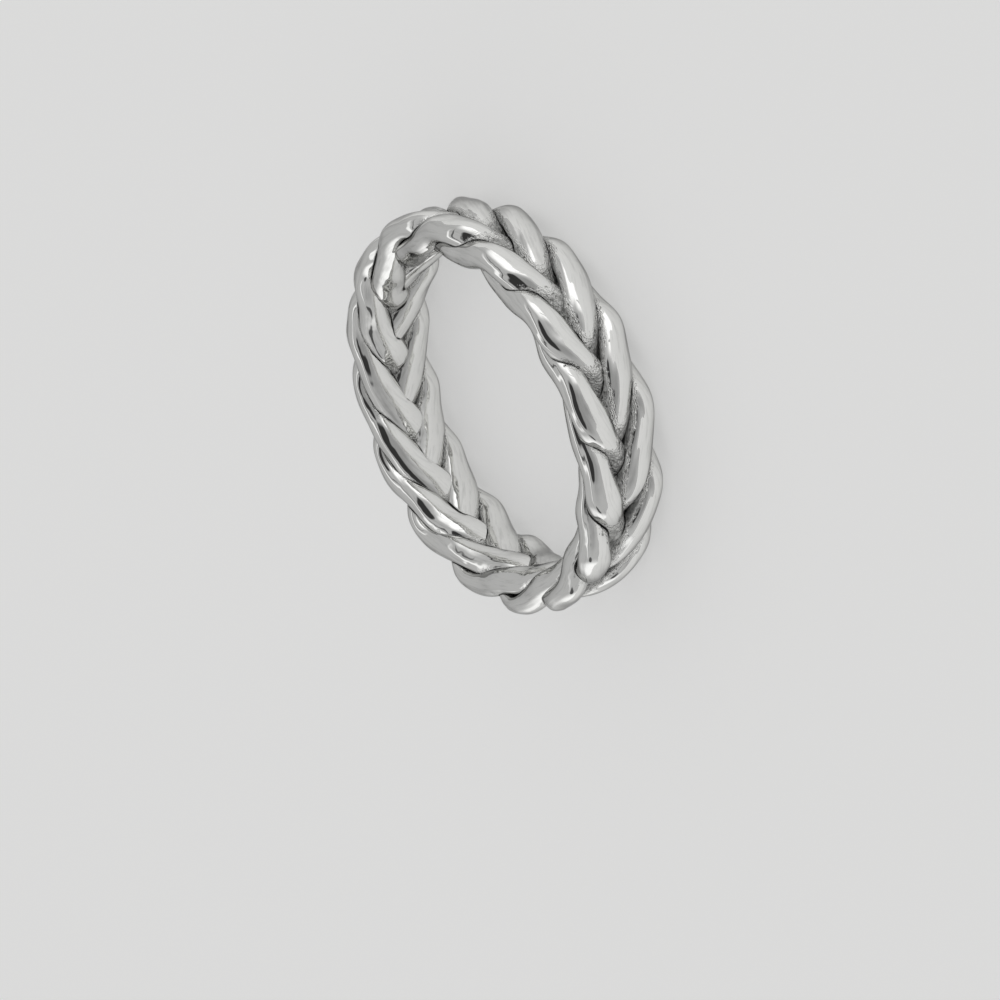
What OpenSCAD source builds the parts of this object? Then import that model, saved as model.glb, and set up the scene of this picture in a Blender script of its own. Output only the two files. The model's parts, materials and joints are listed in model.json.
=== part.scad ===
/* [Band] */
// Radius of the band's middle, halfway through the plait's thickness
mean_r = 9.52; // [8:0.01:12]
// Rounded lobes along each edge of the band
lobes = 15; // [15:5:20]
// Gap kept between strands where they press on each other
gap = 0.12; // [0.1:0.01:0.16]

/* [Weave] */
// How far a strand's middle swings to each side along the finger
swing = 1.57; // [1.4:0.01:1.9]
// How far a strand's middle rises above and dives below the band's middle
dive = 0.55; // [0.5:0.01:0.7]
// Tightening of the swing's turns at the edges, so that the lobes are more pointed and a strand
// runs straighter between them
lobe_point = 0.06; // [0:0.005:0.1]
// Shift of the crossing line towards the upper edge, in degrees of the weave: strands from the
// lower edge run on over the middle line, and strands from the upper edge dive before it
crossing_shift = 33; // [32:1:35]

/* [Strand] */
// Width of a strand along the finger
strand_w = 1.6; // [1.3:0.01:1.7]
// Thickness of a strand towards the finger
strand_t = 1.33; // [1.1:0.01:1.4]
// Loss of thickness where a strand is at the middle line, as a share
pinch = 0.1; // [0:0.01:0.4]
// Lean of a strand's oval into its dive, in degrees
lean = -29; // [-45:1:-20]
// Extra width on the crests, as a share
swell = 0.2; // [0:0.01:0.25]
// Loss of thickness on the crests, as a share
flatten = 0.15; // [0:0.01:0.3]

/* [Facets] */
// Sides of a strand
sides = 10; // [8:1:12]
// Rings along a strand for each of its weaves
rings_per_weave = 52; // [32:4:60]

/* [Hidden] */
strands = 5;
// A strand runs from edge to edge and back this many times in one turn of the band
weaves = lobes / strands;
rings = rings_per_weave * weaves;
half_size = [strand_w / 2, strand_t / 2];
// Slope of a strand across the band, which widens its cut in a plane through the axis
slope = weaves * swing / mean_r;

// All sections lie in planes through the ring's axis, as [along the axis, away from the axis].
// u is a strand's place in its weave: 0 at the upper edge, 90 at the middle line, 180 at the
// lower edge. In one plane the five strands lie 72 degrees of u apart.
function height_turn(u) = 2 * (u + crossing_shift * sin(u));

function centre(u) = [
    swing * (cos(u) + lobe_point * cos(3 * u)),
    mean_r + dive * sin(height_turn(u))
];

// Reach of the full oval from its centre at angle a, leaning into the dive
function oval(u, a) =
    let (
        crest = 2 * pow(sin(height_turn(u)), 2) - 1,
        w = half_size[0] * (1 + swell * crest) * sqrt(1 + pow(slope * sin(u), 2)) * cos(a),
        t = half_size[1] * (1 - flatten * crest) * (1 - pinch * pow(sin(u), 4)) * sin(a),
        turn = lean * sin(height_turn(u)) * cos(height_turn(u) / 2)
    )
    [w * cos(turn) - t * sin(turn), w * sin(turn) + t * cos(turn)];

// The same vector measured in half widths and half thicknesses
function in_halves(v) = [v[0] / half_size[0], v[1] / half_size[1]];

// Share of a reach that the other strands leave free: each pair parts halfway between centres
function room(u, reach) = min([
    for (k = [1 : strands - 1])
        let (
            apart = in_halves(centre(u + 360 * k / strands) - centre(u)),
            towards = in_halves(reach) * apart
        )
        towards > 0 ? (apart * apart / 2 - gap / strand_t * norm(apart)) / towards : 1,
    1
]);

function section(u) = [
    for (j = [0 : sides - 1])
        let (reach = oval(u, 360 * j / sides))
        centre(u) + reach * room(u, reach)
];

sections = [for (i = [0 : rings - 1]) section(-weaves * 360 * i / rings)];
lower_edge = min([for (s = sections) for (p = s) p[0]]);

points = [
    for (i = [0 : rings - 1]) for (p = sections[i])
        [p[1] * cos(360 * i / rings), p[1] * sin(360 * i / rings), p[0] - lower_edge]
];

function corner(i, j) = (i % rings) * sides + j % sides;

faces = [
    for (i = [0 : rings - 1]) for (j = [0 : sides - 1]) each [
        [corner(i, j), corner(i + 1, j), corner(i + 1, j + 1)],
        [corner(i, j), corner(i + 1, j + 1), corner(i, j + 1)]
    ]
];

// Every strand is the same closed loop, one lobe further round
module strand(n) {
    color("silver") rotate([0, 0, (n - 1) * 360 / lobes]) polyhedron(points, faces);
}

module strand_1() strand(1);
module strand_2() strand(2);
module strand_3() strand(3);
module strand_4() strand(4);
module strand_5() strand(5);

strand_1();
strand_2();
strand_3();
strand_4();
strand_5();
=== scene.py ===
import json
import math

import bpy
import numpy as np
from mathutils import Matrix, Vector

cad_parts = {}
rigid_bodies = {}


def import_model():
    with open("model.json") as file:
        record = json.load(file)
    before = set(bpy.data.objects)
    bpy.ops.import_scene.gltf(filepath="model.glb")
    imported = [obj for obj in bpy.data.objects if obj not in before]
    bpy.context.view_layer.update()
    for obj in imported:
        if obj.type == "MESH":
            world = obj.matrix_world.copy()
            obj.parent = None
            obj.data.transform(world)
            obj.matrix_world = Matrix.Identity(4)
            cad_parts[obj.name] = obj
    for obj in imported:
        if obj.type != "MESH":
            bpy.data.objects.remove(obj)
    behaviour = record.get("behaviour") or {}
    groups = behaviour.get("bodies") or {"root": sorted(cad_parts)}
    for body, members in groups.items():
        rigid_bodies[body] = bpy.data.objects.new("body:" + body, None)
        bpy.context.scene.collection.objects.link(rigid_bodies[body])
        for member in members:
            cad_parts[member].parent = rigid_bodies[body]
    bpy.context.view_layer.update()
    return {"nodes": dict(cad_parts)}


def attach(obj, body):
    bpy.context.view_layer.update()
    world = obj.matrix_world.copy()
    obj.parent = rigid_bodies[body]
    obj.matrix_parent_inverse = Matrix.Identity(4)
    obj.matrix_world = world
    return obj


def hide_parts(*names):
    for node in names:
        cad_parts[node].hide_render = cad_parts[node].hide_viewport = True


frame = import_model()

print("frame loaded:", ", ".join(sorted(frame["nodes"])))


# sRGB hex to linear, with the numbers of the sRGB standard
def linearColour(hexText):
    parts = [int(hexText[i:i + 2], 16) / 255 for i in (0, 2, 4)]
    return [c / 12.92 if c <= 0.04045 else ((c + 0.055) / 1.055) ** 2.4 for c in parts] + [1.0]


# One node with its settings (sockets by name or number, or properties) and its links
def addNode(tree, kind, settings=None, links=None):
    node = tree.nodes.new(kind)
    for name, value in (settings or {}).items():
        if isinstance(name, int) or name in node.inputs:
            node.inputs[name].default_value = value
        else:
            setattr(node, name, value)
    for name, source in (links or {}).items():
        tree.links.new(source, node.inputs[name])
    return node


def deselectAll():
    for thing in list(bpy.context.view_layer.objects):
        thing.select_set(False)


# The plait, in millimetres and degrees. Each strand swings from edge to edge, on top over one half
# of its way and underneath over the other. u is its place in one weave: 0 at the upper edge, 90 at
# the middle line, 180 at the lower edge
plait = {
    "meanRadius": 9.52,
    "lobes": 15,
    "strands": 5,
    "swing": 1.57,
    "dive": 0.55,
    "steepness": 0.8,  # how square the climb and the dive are
    "diveShifts": [[66, 22, 34], [225, 12, 60]],  # near, degrees, spread
    "swingShifts": [[38, -16, 32], [212, 14, 60]],
    "strandWidth": 1.54,
    "strandThickness": 1.33,
    "lean": -22,
    "swell": 0.08,
    "flatten": 0.15,
    "middleWidth": 0.13,  # extra at the middle line, as shares, so that no light comes through there
    "middleThickness": 0.25,
    "middlePower": 4,
    "innerWeb": 0.45,
    "webPower": 8,
    "cutDepths": [0.1, 0.2],  # inside a neighbour: where the cut starts, and where it is whole
    "hiddenGap": 0.03,
    "crestOutline": [2.3, 1.15, 3.5],  # half width, half thickness, roundness
    "ridges": [[5, 0.009, 60, 40], [9, 0.007, 120, 200], [14, 0.004, 200, 90]],
    "unevenShift": 0.03,
    "unevenFullness": 0.02,
    "unevenWaves": [5, 27],  # waves round the band, from and up to
    "shiftSeeds": [10, 20],  # along the axis and away from it
    "ringsPerWeave": 220,
    "sides": 64,
    "searchRings": 1441,  # for the band's lowest point
    "searchSides": 73,
    "mergeDistance": 0.001,
}
fullTurn = 2 * math.pi
weaves = plait["lobes"] // plait["strands"]
halfSize = np.array([plait["strandWidth"] / 2, plait["strandThickness"] / 2])


# A place in the weave, shifted by some degrees near a few others: [near, degrees, spread]
def shifted(u, shifts):
    moved = u
    for near, amount, spread in shifts:
        away = np.mod(u - math.radians(near) + math.pi, fullTurn) - math.pi
        moved = moved + math.radians(amount) * np.exp(-(away / math.radians(spread)) ** 2)
    return moved


# How far round its climb and dive a strand is
def heightTurn(u):
    return 2 * shifted(u, plait["diveShifts"])


# Where a strand's middle is at u radians of its weave: [along the axis, away from the axis]
def strandCentre(u):
    rise = np.tanh(plait["steepness"] * np.sin(heightTurn(u))) / math.tanh(plait["steepness"])
    across = shifted(u, plait["swingShifts"])
    return np.stack([plait["swing"] * np.cos(across), plait["meanRadius"] + plait["dive"] * rise], -1)


# Where another strand is in its weave, in the plane where this one is at u
def neighbourPlace(u, k):
    return u + fullTurn * k / plait["strands"]


# The strand's plump leaning oval at u: half width, half thickness, and cosine and sine of its lean.
# A strand that runs at a slope is cut wider by a plane through the ring's axis
def strandOval(u):
    turn = heightTurn(u)
    crest = 2 * np.sin(turn) ** 2 - 1
    middle = np.sin(u) ** plait["middlePower"]
    slope = weaves * plait["swing"] / plait["meanRadius"]
    width = halfSize[0] * (1 + plait["swell"] * crest) * np.sqrt(1 + (slope * np.sin(u)) ** 2)
    width = width * (1 + plait["middleWidth"] * middle)
    thick = halfSize[1] * (1 - plait["flatten"] * crest) * (1 + plait["middleThickness"] * middle)
    lean = math.radians(plait["lean"]) * np.sin(turn) * np.cos(turn / 2)
    return width[:, None], thick[:, None], np.cos(lean)[:, None], np.sin(lean)[:, None]


# Faint ridges that run along a strand: [how many round it, share of its size, drift, start]
def ridged(u, around):
    size = 1
    for count, share, drift, start in plait["ridges"]:
        place = math.radians(drift) * np.sin(u + math.radians(start))[:, None]
        size = size + share * np.cos(count * around + place)
    return size


# Sections of a strand at u, in planes through the ring's axis. Towards the finger it widens near
# the middle line into a web, so that the strands leave no hole between them
def strandSection(u, around):
    width, thick, c, s = strandOval(u)
    size = ridged(u, around)
    inner = (1 - np.sin(around)) / 2
    web = 1 + plait["innerWeb"] * (np.sin(u) ** plait["webPower"])[:, None] * inner ** 2
    w, t = width * size * web * np.cos(around), thick * size * np.sin(around)
    return strandCentre(u)[:, None] + np.stack([w * c - t * s, w * s + t * c], -1)


# A slow random wave round the band, about 1 high, for a strand that was shaped by hand
def uneven(turn, seed):
    source = np.random.default_rng(seed)
    counts = np.arange(*plait["unevenWaves"])
    waves = source.normal(size=(2, len(counts), 1))
    steps = counts[:, None] * turn
    return (waves[0] * np.cos(steps) + waves[1] * np.sin(steps)).sum(0) / math.sqrt(len(counts))


# A strand's own sections, with its small differences from the others
def strandShape(number, turn, around):
    u = -weaves * turn
    middle = strandCentre(u)[:, None]
    section = middle + (strandSection(u, around) - middle) * (
        1 + plait["unevenFullness"] * uneven(turn, number)[:, None, None])
    shift = np.stack([uneven(turn, number + seed) for seed in plait["shiftSeeds"]], -1)
    return section + plait["unevenShift"] * shift[:, None]


# How far a strand's surface is from the nearest other strand in the same plane, in mm: 0 along the
# creases and less inside the neighbour
def creaseDistance(u, section):
    nearest = np.full(section.shape[:2], np.inf)
    for k in range(1, plait["strands"]):
        other = neighbourPlace(u, k)
        width, thick, c, s = strandOval(other)
        away = section - strandCentre(other)[:, None]
        x, y = away[..., 0] * c + away[..., 1] * s, away[..., 1] * c - away[..., 0] * s
        reach = np.hypot(x / width, y / thick)
        nearest = np.minimum(nearest, (reach - 1) * np.hypot(x, y) / reach)
    return nearest


# Inside its neighbours a strand is cut back to halfway between the two middles, less a small gap.
# The cut starts a little way in, so that no gap shows at the crease. Lengths are measured here in
# half widths and half thicknesses
def cutBack(u, section, crease):
    middle = strandCentre(u)[:, None]
    reach = section - middle
    share = np.ones(section.shape[:2])
    for k in range(1, plait["strands"]):
        apart = (strandCentre(neighbourPlace(u, k))[:, None] - middle) / halfSize
        towards = (reach / halfSize * apart).sum(-1)
        length = np.sqrt((apart ** 2).sum(-1))
        free = length * (length / 2 - plait["hiddenGap"] / plait["strandThickness"])
        share = np.minimum(share, np.where(towards > free, free / np.maximum(towards, free), 1))
    cutFrom, cutFull = plait["cutDepths"]
    cut = np.clip((-crease - cutFrom) / (cutFull - cutFrom), 0, 1)
    return middle + reach * (1 - cut * (1 - share))[..., None]


# How far a point lies below the rounded outline that the crests of the plait reach, in mm
def sunkDepth(section):
    halfBand, halfPlait, roundness = plait["crestOutline"]
    across = np.abs(section[..., 0]) / halfBand
    away = np.abs(section[..., 1] - plait["meanRadius"]) / halfPlait
    return halfPlait * (1 - (across ** roundness + away ** roundness) ** (1 / roundness))


# The lowest point of the band, which is set on the floor
def lowestPoint():
    turn = np.linspace(0, fullTurn, plait["searchRings"])
    around = np.linspace(0, fullTurn, plait["searchSides"])[None]
    return min(
        strandShape(number, turn, around)[..., 0].min() for number in range(1, plait["strands"] + 1))


lowerEdge = lowestPoint()


# Each strand starts as a flat grid, which is rolled into a closed tube and laid along its way
def buildStrand(number):
    deselectAll()
    bpy.ops.mesh.primitive_grid_add(
        x_subdivisions=plait["ringsPerWeave"] * weaves, y_subdivisions=plait["sides"], size=1)
    strand = bpy.context.object
    strand.name = f"strandSilver{number}"
    flat = np.zeros(len(strand.data.vertices) * 3)
    strand.data.vertices.foreach_get("co", flat)
    flat = flat.reshape(plait["sides"] + 1, -1, 3) + 0.5
    turn = flat[0, :, 0] * fullTurn
    around = -flat[:, :, 1].T * fullTurn
    section = strandShape(number, turn, around)
    crease = creaseDistance(-weaves * turn, section)
    section = cutBack(-weaves * turn, section, crease).transpose(1, 0, 2)
    angle = turn + (number - 1) * fullTurn / plait["lobes"]
    height, away = section[..., 0] - lowerEdge, section[..., 1]
    points = np.stack([away * np.cos(angle), away * np.sin(angle), height], -1)
    strand.data.vertices.foreach_set("co", points.reshape(-1) / 1000)
    # a place on the strand that has no seam: two numbers along it and two round it, in mm
    along = np.broadcast_to(turn, section.shape[:2])
    aside = np.stack([np.cos(around.T), np.sin(around.T)]) * plait["strandWidth"] / 2
    radius = plait["meanRadius"]
    streakPlace = np.stack([radius * np.cos(along), radius * np.sin(along), aside[0]], -1)
    for name, values in (("sunk", sunkDepth(section)), ("crease", crease.T), ("streakSide", aside[1])):
        attribute = strand.data.attributes.new(name, "FLOAT", "POINT")
        attribute.data.foreach_set("value", values.reshape(-1))
    attribute = strand.data.attributes.new("streakPlace", "FLOAT_VECTOR", "POINT")
    attribute.data.foreach_set("vector", streakPlace.reshape(-1))
    strand.data.update()
    strand.select_set(True)
    bpy.ops.object.mode_set(mode="EDIT")
    bpy.ops.mesh.select_all(action="SELECT")
    bpy.ops.mesh.remove_doubles(threshold=plait["mergeDistance"] / 1000)
    bpy.ops.mesh.normals_make_consistent(inside=False)
    bpy.ops.object.mode_set(mode="OBJECT")
    bpy.ops.object.shade_smooth()
    return strand


# Sterling silver, lost-wax cast and then buffed. The crests, where the buff reaches, are a bright
# neutral mirror with a slow waviness and faint streaks along the strands. The grooves keep the grainy
# grey skin of the casting, the creases are dark with tarnish and painted shade, and small folds, pits
# and nicks show where skin and mirror meet. At a grazing angle the silver is tinted darker, a painted
# shade that draws the strands' edges. Sizes are in mm. The real grain of about 0.05 mm is too fine to
# show and is drawn at 0.22 mm
silverFinish = {
    "polish": "F4F4F2",
    "polishRoughness": 0.045,
    # darker tint at a grazing angle: painted shade along the strands' edges
    "grazingPaintedShade": "AEAEAE",
    "waveSize": 0.8,
    "waveHeight": 0.03,
    "streakDull": "DEDEDC",
    "streakTones": (0.5, 0.75),
    "streakLength": 1.2,
    "streakWidth": 0.16,
    "streakHeight": 0.0014,
    "skin": "F4F4F2",
    "skinDark": "BCBCBA",
    "skinRoughness": 0.36,
    "skinFrom": 0.37,  # how far below the crests' outline the skin starts, and where it is whole
    "skinFull": 0.42,
    "edgeSize": 0.35,
    "edgeWander": 0.3,
    "creaseSkin": (0.1, 0.03),  # distances from the neighbour, also for the tarnish and painted shade
    "creaseTarnishAndShade": (0.045, 0.018),
    # dark colour along the creases: tarnish, and painted shade of the gap between strands
    "tarnishAndShade": "3A3A39",
    "grainTones": (0.36, 0.62),
    "grainSize": 0.22,
    "grainHeight": 0.045,
    "foldPitch": 0.06,
    "foldHeight": 0.02,
    "foldReach": 0.06,
    "pitSpacing": 0.3,
    "pitHeight": 0.09,
    "pitRim": (0.15, 0.32),
    "pitZone": (-0.02, 0.04),
}


# How deep a point is in the grooves, with a wandering edge, how near it is to the next strand, and
# how far the skin covers it
def skinCover(tree, place):
    finish = silverFinish
    sunk = addNode(tree, "ShaderNodeAttribute", {"attribute_name": "sunk"}).outputs["Fac"]
    crease = addNode(tree, "ShaderNodeAttribute", {"attribute_name": "crease"}).outputs["Fac"]
    wander = addNode(tree, "ShaderNodeTexNoise", {
        "Scale": 1000 / finish["edgeSize"], "Detail": 4.0, "Roughness": 0.6}, {
        "Vector": place}).outputs["Fac"]
    depth = addNode(tree, "ShaderNodeMath", {"operation": "MULTIPLY_ADD", 1: finish["edgeWander"]}, {
        0: wander, 2: sunk}).outputs[0]
    halfWander = finish["edgeWander"] / 2
    inGroove = addNode(tree, "ShaderNodeMapRange", {
        "From Min": finish["skinFrom"] + halfWander, "From Max": finish["skinFull"] + halfWander}, {
        "Value": depth}).outputs[0]
    inCrease = addNode(tree, "ShaderNodeMapRange", {
        "From Min": finish["creaseSkin"][0], "From Max": finish["creaseSkin"][1]}, {
        "Value": crease}).outputs[0]
    skin = addNode(tree, "ShaderNodeMath", {"operation": "MAXIMUM"}, {0: inGroove, 1: inCrease})
    return depth, crease, skin.outputs[0]


# The buff's streaks, longer along a strand than round it
def streakPattern(tree):
    finish = silverFinish
    place = addNode(tree, "ShaderNodeAttribute", {"attribute_name": "streakPlace"}).outputs["Vector"]
    side = addNode(tree, "ShaderNodeAttribute", {"attribute_name": "streakSide"}).outputs["Fac"]
    along, across = 1 / finish["streakLength"], 1 / finish["streakWidth"]
    stretched = addNode(tree, "ShaderNodeVectorMath", {
        "operation": "MULTIPLY", 1: (along, along, across)}, {0: place}).outputs[0]
    sideways = addNode(tree, "ShaderNodeMath", {"operation": "MULTIPLY", 1: across}, {0: side})
    return addNode(tree, "ShaderNodeTexNoise", {
        "noise_dimensions": "4D", "Scale": 1.0, "Detail": 3.0, "Roughness": 0.6}, {
        "Vector": stretched, "W": sideways.outputs[0]}).outputs["Fac"]


# The skin is light on its grains and darker between them, and the creases are dark with tarnish and
# painted shade
def silverColour(tree, grain, streak, crease, skin):
    finish = silverFinish
    grainTop = addNode(tree, "ShaderNodeMapRange", {
        "From Min": finish["grainTones"][0], "From Max": finish["grainTones"][1]}, {
        "Value": grain}).outputs[0]
    skinColour = addNode(tree, "ShaderNodeMix", {
        "data_type": "RGBA", 6: linearColour(finish["skinDark"]), 7: linearColour(finish["skin"])}, {
        0: grainTop}).outputs[2]
    streaked = addNode(tree, "ShaderNodeMapRange", {
        "From Min": finish["streakTones"][0], "From Max": finish["streakTones"][1]}, {
        "Value": streak}).outputs[0]
    polish = addNode(tree, "ShaderNodeMix", {
        "data_type": "RGBA", 6: linearColour(finish["polish"]), 7: linearColour(finish["streakDull"])}, {
        0: streaked}).outputs[2]
    surface = addNode(tree, "ShaderNodeMix", {"data_type": "RGBA"}, {
        0: skin, 6: polish, 7: skinColour}).outputs[2]
    # painted shade with tarnish: the colour turns dark close to the neighbouring strand
    tarnishAndShadeShare = addNode(tree, "ShaderNodeMapRange", {
        "From Min": finish["creaseTarnishAndShade"][0], "From Max": finish["creaseTarnishAndShade"][1]}, {
        "Value": crease}).outputs[0]
    return addNode(tree, "ShaderNodeMix", {
        "data_type": "RGBA", 7: linearColour(finish["tarnishAndShade"])}, {
        0: tarnishAndShadeShare, 6: surface}).outputs[2]


# Waves and streaks all over, folds and pits along the skin's edge, and the skin's own grain
def silverRelief(tree, place, depth, skin, grain, streak):
    finish = silverFinish
    wave = addNode(tree, "ShaderNodeTexNoise", {
        "Scale": 1000 / finish["waveSize"], "Detail": 1.0}, {"Vector": place}).outputs["Fac"]
    foldTurn = addNode(tree, "ShaderNodeMath", {
        "operation": "MULTIPLY", 1: fullTurn / finish["foldPitch"]}, {0: depth}).outputs[0]
    fold = addNode(tree, "ShaderNodeMath", {"operation": "SINE"}, {0: foldTurn}).outputs[0]
    nearSkin = addNode(tree, "ShaderNodeMapRange", {
        "interpolation_type": "SMOOTHSTEP", "From Min": finish["skinFrom"] - finish["foldReach"],
        "From Max": finish["skinFrom"] + finish["edgeWander"] / 2}, {"Value": depth}).outputs[0]
    pits = addNode(tree, "ShaderNodeTexVoronoi", {
        "Scale": 1000 / finish["pitSpacing"], "Randomness": 1.0}, {"Vector": place}).outputs["Distance"]
    pitLevel = addNode(tree, "ShaderNodeMapRange", {
        "From Min": finish["pitRim"][0], "From Max": finish["pitRim"][1]}, {"Value": pits}).outputs[0]
    pitted = addNode(tree, "ShaderNodeMapRange", {
        "From Min": finish["skinFrom"] + finish["pitZone"][0],
        "From Max": finish["skinFrom"] + finish["pitZone"][1]}, {"Value": depth}).outputs[0]
    normal = None
    for height, pattern, strength in (
            (finish["waveHeight"], wave, None),
            (finish["streakHeight"], streak, None),
            (finish["foldHeight"], fold, nearSkin),
            (finish["pitHeight"], pitLevel, pitted),
            (finish["grainHeight"], grain, skin)):
        links = {"Height": pattern, "Strength": strength, "Normal": normal}
        normal = addNode(tree, "ShaderNodeBump", {"Distance": height / 1000, "Strength": 1.0}, {
            name: source for name, source in links.items() if source}).outputs[0]
    return normal


def silverMaterial():
    finish = silverFinish
    material = bpy.data.materials.new("castSilverBuffedCrests")
    material.use_nodes = True
    tree = material.node_tree
    shader = tree.nodes["Principled BSDF"]
    shader.inputs["Metallic"].default_value = 1.0
    # painted shade: the reflection is tinted darker at grazing angles, which draws the edges
    shader.inputs["Specular Tint"].default_value = linearColour(finish["grazingPaintedShade"])
    place = addNode(tree, "ShaderNodeTexCoord").outputs["Object"]
    depth, crease, skin = skinCover(tree, place)
    grain = addNode(tree, "ShaderNodeTexNoise", {
        "Scale": 1000 / finish["grainSize"], "Detail": 5.0, "Roughness": 0.65}, {
        "Vector": place}).outputs["Fac"]
    streak = streakPattern(tree)
    rough = addNode(tree, "ShaderNodeMapRange", {
        "To Min": finish["polishRoughness"], "To Max": finish["skinRoughness"]}, {"Value": skin})
    tree.links.new(silverColour(tree, grain, streak, crease, skin), shader.inputs["Base Color"])
    tree.links.new(rough.outputs[0], shader.inputs["Roughness"])
    tree.links.new(silverRelief(tree, place, depth, skin, grain, streak), shader.inputs["Normal"])
    return material


silver = silverMaterial()
for number in range(1, plait["strands"] + 1):
    strand = buildStrand(number)
    strand.data.materials.clear()
    strand.data.materials.append(silver)
    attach(strand, "root")
    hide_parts(f"strand_{number}")
print("strands built")

# The camera, worked out from the ring's outline in the photograph: millimetres and radians
view = {
    "distance": 140.41,
    "fromAxis": 1.0345,
    "azimuth": -0.0093,
    "pan": 0.0003,
    "tilt": 0.0335,
    "roll": 1.9665,
    "focal": 100.26,
    "sensor": 36,
    "clipStart": 5,
}


# The camera's right, up and back, and the direction in which it lies from the ring
def viewDirections():
    beta, azimuth = view["fromAxis"], view["azimuth"]
    outwards = np.array([
        math.sin(beta) * math.cos(azimuth), math.sin(beta) * math.sin(azimuth), math.cos(beta)])
    right = np.cross(-outwards, [0, 0, 1])
    right /= np.linalg.norm(right)
    down = np.cross(-outwards, right)
    c, s = math.cos(view["roll"]), math.sin(view["roll"])
    rows = np.stack([c * right + s * down, -s * right + c * down, -outwards])
    c, s = math.cos(view["pan"]), math.sin(view["pan"])
    rows = np.array([[c, 0, -s], [0, 1, 0], [s, 0, c]]) @ rows
    c, s = math.cos(view["tilt"]), math.sin(view["tilt"])
    rows = np.array([[1, 0, 0], [0, c, -s], [0, s, c]]) @ rows
    return rows[0], -rows[1], -rows[2], outwards


viewRight, viewUp, viewBack, fromRing = viewDirections()


def placeCamera():
    cameraData = bpy.data.cameras.new("ringCamera")
    cameraData.sensor_width = view["sensor"]
    cameraData.lens = view["focal"]
    cameraData.clip_start = view["clipStart"] / 1000
    camera = bpy.data.objects.new("ringCamera", cameraData)
    bpy.context.scene.collection.objects.link(camera)
    place = (fromRing * view["distance"] - np.array([0, 0, lowerEdge])) / 1000
    camera.matrix_world = Matrix([
        [viewRight[i], viewUp[i], viewBack[i], place[i]] for i in range(3)] + [[0, 0, 0, 1]])
    bpy.context.scene.camera = camera
    bpy.context.scene.view_settings.view_transform = "Standard"


placeCamera()
print("camera placed")

# The studio: an opal glass floor that glows a little, in a grey room with the soft light and dark
# panels that the silver mirrors. A panel's row is its middle in degrees right and up from the camera,
# its half width and half height in degrees, the share of it that has its full tone, and that tone.
# The floor is lit by the even fill instead
studio = {
    "floor": "C4C4C3",
    "floorSize": 3,
    "floorRoughness": 0.8,
    "glowColour": "FFFFFF",
    "floorGlow": 0.32,
    "fill": 0.7,
    "room": 0.46,
    "panels": [
        [30, 66, 80, 62, 0.1, 0.85],  # light from above, with a brighter middle
        [6, 60, 48, 38, 0.45, 1.2],
        [-4, -20, 44, 58, 0.3, 0.3],  # dim round the camera
        [-72, -20, 6, 60, 0.3, 1.0],  # bright strip on the left, with a dark one beside it
        [-61, -10, 3, 60, 0.4, 0.1],
        [0, 43, 60, 2, 0.4, 0.5],  # thin shadow under the light
        [4, -118, 50, 34, 0.3, 1.1],  # light from below
        [-27, -15, 19, 38, 0.75, 0.035],  # black flags, beside the camera and below it
        [-12, -84, 9, 14, 0.6, 0.08],
    ],
}


def buildFloor():
    deselectAll()
    bpy.ops.mesh.primitive_plane_add(size=studio["floorSize"], location=(0, 0, 0))
    floor = bpy.context.object
    floor.name = "studioFloor"
    material = bpy.data.materials.new("opalGlassFloor")
    material.use_nodes = True
    shader = material.node_tree.nodes["Principled BSDF"]
    shader.inputs["Base Color"].default_value = linearColour(studio["floor"])
    shader.inputs["Roughness"].default_value = studio["floorRoughness"]
    shader.inputs["Emission Color"].default_value = linearColour(studio["glowColour"])
    shader.inputs["Emission Strength"].default_value = studio["floorGlow"]
    floor.data.materials.append(material)


def roomDirection(across, up):
    angle = math.radians(math.hypot(across, up))
    turn = math.atan2(up, across)
    return Vector(math.cos(angle) * viewBack + math.sin(angle) * (
        math.cos(turn) * viewRight + math.sin(turn) * viewUp))


# How far a direction lies in a panel: a ball round the panel's middle, stretched to the panel's size
# and soft towards its rim
def panelShare(tree, direction, across, up, wide, high, full):
    middle = roomDirection(across, up)
    side = Vector(viewUp).cross(middle).normalized()
    facing = Matrix([side, middle.cross(side), middle]).transposed()
    halfWide, halfHigh = (2 * math.sin(math.radians(size) / 2) for size in (wide, high))
    stretched = addNode(tree, "ShaderNodeMapping", {
        "vector_type": "TEXTURE", "Location": middle, "Rotation": facing.to_euler(),
        "Scale": (halfWide, halfHigh, halfHigh)}, {"Vector": direction}).outputs["Vector"]
    ball = addNode(tree, "ShaderNodeTexGradient", {"gradient_type": "SPHERICAL"}, {
        "Vector": stretched}).outputs["Fac"]
    return addNode(tree, "ShaderNodeMapRange", {
        "interpolation_type": "SMOOTHSTEP", "From Max": 1 - full}, {"Value": ball}).outputs["Result"]


def buildRoom():
    world = bpy.data.worlds.new("studioRoom")
    bpy.context.scene.world = world
    world.use_nodes = True
    tree = world.node_tree
    direction = addNode(tree, "ShaderNodeTexCoord").outputs["Generated"]
    tone = None
    for *place, grey in studio["panels"]:
        share = panelShare(tree, direction, *place)
        mix = addNode(tree, "ShaderNodeMix", {
            "data_type": "FLOAT", 2: studio["room"], 3: grey}, {0: share})
        if tone:
            tree.links.new(tone, mix.inputs[2])
        tone = mix.outputs[0]
    rays = addNode(tree, "ShaderNodeLightPath").outputs["Is Diffuse Ray"]
    seen = addNode(tree, "ShaderNodeMix", {"data_type": "FLOAT", 3: studio["fill"]}, {0: rays, 2: tone})
    tree.links.new(seen.outputs[0], tree.nodes["Background"].inputs["Color"])


buildFloor()
buildRoom()
print("studio built")
